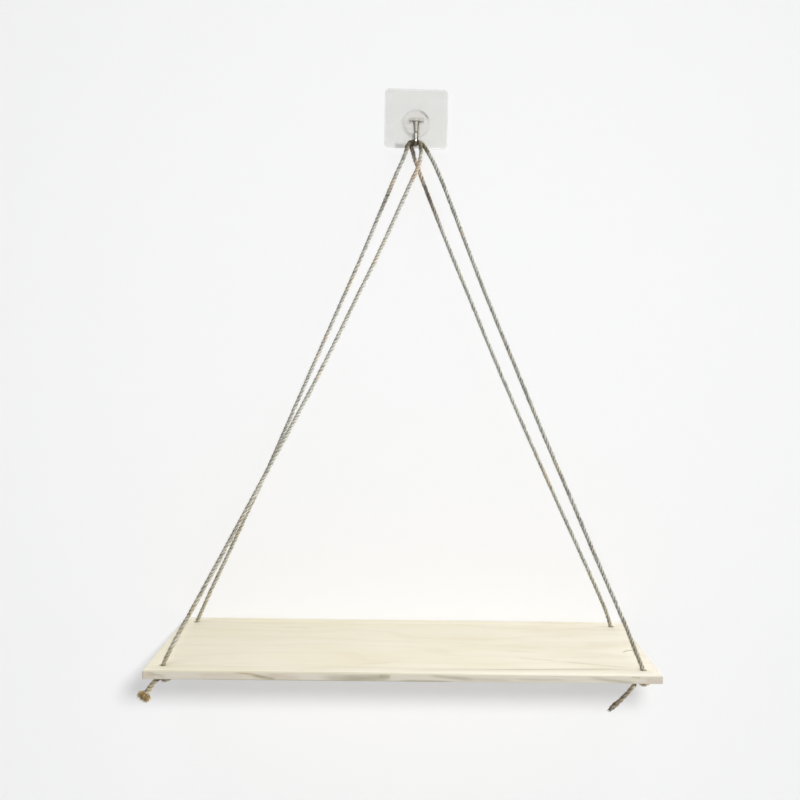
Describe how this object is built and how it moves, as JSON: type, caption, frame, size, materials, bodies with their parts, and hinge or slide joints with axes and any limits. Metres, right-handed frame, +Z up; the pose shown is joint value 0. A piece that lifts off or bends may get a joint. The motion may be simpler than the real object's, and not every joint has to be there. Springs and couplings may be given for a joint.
{
  "type": "hanging rope shelf",
  "caption": "Thin drilled board hung on knotted ropes from a steel hook that swings in a clear adhesive wall plate.",
  "frame": {"origin": "centre of the adhesive pad's flat face on the wall", "axes": "+X to the right along the board, +Y into the wall, +Z up"},
  "size_m": [0.4245, 0.14, 0.544],
  "materials": {
    "adhesive_film": "satin",
    "clear_plastic": "gloss",
    "steel": "satin",
    "pine": "planed",
    "jute": "matte"
  },
  "bodies": {
    "wall_anchor": {"adhesive_pad": "adhesive_film", "wall_plate": "clear_plastic", "dome_cap": "clear_plastic"},
    "swing_hook": {"hook": "steel"},
    "shelf": {"board": "pine", "left_rope": "jute", "right_rope": "jute", "back_left_knot": "jute", "front_left_knot": "jute", "back_right_knot": "jute", "front_right_knot": "jute"}
  },
  "joints": [
    {"name": "hook_swing", "type": "hinge", "parent": "wall_anchor", "child": "swing_hook", "pos_m": [0, -0.0046, -0.002], "axis": [-1, 0, 0], "range_deg": [0, 60]},
    {"name": "shelf_sway", "type": "hinge", "parent": "swing_hook", "child": "shelf", "pos_m": [0, -0.01, -0.027], "axis": [0, 1, 0], "range_deg": [-12, 12]}
  ]
}
